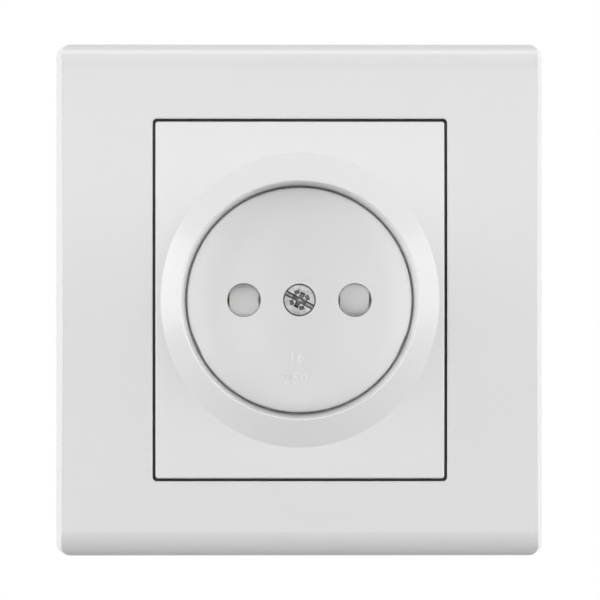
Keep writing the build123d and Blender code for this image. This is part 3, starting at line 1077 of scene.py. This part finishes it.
@dataclass(frozen=True)
class Softbox:
    """Rectangular soft lamp that points at the socket, seen in glossy surfaces unless mirrored is false."""

    name: str
    place: Triple
    width: float
    height: float
    watts: float
    mirrored: bool = True

    def make(self) -> None:
        """Add the lamp, aimed at the origin."""
        lamp = bpy.data.lights.new(self.name, "AREA")
        lamp.shape = "RECTANGLE"
        lamp.size = self.width
        lamp.size_y = self.height
        lamp.energy = self.watts
        holder = bpy.data.objects.new(self.name, lamp)
        holder.visible_glossy = self.mirrored
        holder.location = self.place
        holder.rotation_euler = (-Vector(self.place)).to_track_quat("-Z", "Y").to_euler()
        bpy.context.scene.collection.objects.link(holder)


@dataclass(frozen=True)
class Studio:
    """White studio round the socket, with the camera straight in front."""

    camera_distance: float = 1.0
    camera_offset: float = -13.0 * MM
    camera_aim: tuple[float, float] = (0.15 * MM, 0.0)
    focus_plane: float = 4.66 * MM
    pixels_per_metre: float = 5847.0
    image_pixels: float = 600.0
    sensor: float = 36.0
    floor_drop: float = 0.70
    floor_size: float = 2.4
    floor_tone: float = 0.40
    floor_mottle: float = 0.98
    floor_roughness: float = 0.9
    dome: float = 0.06
    floor_glow: float = 0.45
    boxes: tuple[Softbox, ...] = (
        Softbox("left_box", (-0.57, -0.56, 0.085), 0.30, 0.42, 1.44),
        Softbox("right_box", (0.57, -0.56, 0.085), 0.30, 0.42, 1.04),
        Softbox("left_side", (-0.80, -0.20, 0.10), 0.40, 0.80, 4.0),
        Softbox("right_side", (0.80, -0.20, 0.10), 0.40, 0.80, 4.5),
        Softbox("top_box", (0.0, -0.03, 0.90), 0.90, 0.25, 2.7),
        Softbox("front_box", (0.0, -1.40, 0.34), 1.20, 0.30, 1.20),
        Softbox("camera_box", (0.0, -1.40, 0.16), 0.90, 0.16, 1.62),
        Softbox("low_box", (0.0, -1.30, -0.30), 1.00, 0.30, 1.78),
        Softbox("back_left", (-0.25, 0.95, 0.15), 0.40, 0.30, 2.9, False),
        Softbox("back_right", (0.25, 0.95, 0.15), 0.40, 0.30, 2.5, False),
    )

    def make(self) -> None:
        """Build the camera, the world, the lamps and the floor."""
        self.make_camera()
        self.make_world()
        self.make_floor()
        for box in self.boxes:
            box.make()
        bpy.context.scene.view_settings.view_transform = "Standard"

    def make_camera(self) -> None:
        """Set the camera at the photograph's scale, looking along +Y."""
        camera = bpy.data.cameras.new("camera")
        view_width = self.image_pixels / self.pixels_per_metre
        camera.sensor_width = self.sensor
        camera.sensor_fit = "HORIZONTAL"
        camera.lens = self.sensor * (self.camera_distance - self.focus_plane) / view_width
        camera.clip_start = 0.01
        holder = bpy.data.objects.new("camera", camera)
        across, up = self.camera_aim
        holder.location = (across + self.camera_offset, -self.camera_distance, up)
        way = Vector((across, 0.0, up)) - holder.location
        holder.rotation_euler = way.to_track_quat("-Z", "Y").to_euler()
        bpy.context.scene.collection.objects.link(holder)
        bpy.context.scene.camera = holder

    def make_world(self) -> None:
        """Light the scene from a soft dome, and show white wherever the background is seen."""
        world = bpy.data.worlds.new("studio")
        bpy.context.scene.world = world
        world.use_nodes = True
        tree = world.node_tree
        tree.nodes.clear()
        output = tree.nodes.new("ShaderNodeOutputWorld")
        mix = tree.nodes.new("ShaderNodeMixShader")
        for place, strength in ((1, self.dome), (2, 1.0)):
            light = tree.nodes.new("ShaderNodeBackground")
            light.inputs["Color"].default_value = (1.0, 1.0, 1.0, 1.0)
            light.inputs["Strength"].default_value = strength
            tree.links.new(light.outputs["Background"], mix.inputs[place])
        tree.links.new(seen_rays(tree), mix.inputs["Fac"])
        tree.links.new(mix.outputs["Shader"], output.inputs["Surface"])

    def make_floor(self) -> None:
        """Lay a plain pale floor well below the socket, which still takes the socket's shadow."""
        bpy.ops.object.select_all(action="DESELECT")
        bpy.ops.mesh.primitive_plane_add(size=self.floor_size, location=(0.0, 0.0, -self.floor_drop))
        floor = started("floor")
        graph = Graph("floor_paper")
        dark = grey(self.floor_tone * self.floor_mottle)
        graph.tint(graph.noise(3.0, 2.0), dark, grey(self.floor_tone))
        graph.shader.inputs["Roughness"].default_value = self.floor_roughness
        graph.shader.inputs["Emission Color"].default_value = (1.0, 1.0, 1.0, 1.0)
        glow = graph.node("ShaderNodeMath", operation="MULTIPLY")
        glow.inputs[1].default_value = self.floor_glow
        graph.join(seen_rays(graph.tree), glow.inputs[0])
        graph.join(glow.outputs["Value"], graph.shader.inputs["Emission Strength"])
        floor.data.materials.append(graph.material)


def main() -> None:
    """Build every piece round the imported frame."""
    logging.basicConfig(level=logging.INFO, format="%(name)s: %(message)s")
    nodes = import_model()["nodes"]
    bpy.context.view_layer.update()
    cover = Cover(nodes)
    cover.dress()
    cover.build()
    shutter = Shutter(nodes)
    shutter.dress()
    shutter.build()
    Fasteners(nodes).build()
    Mechanism(nodes).dress()
    Studio().make()
    bpy.context.view_layer.update()


if __name__ == "__main__":
    main()
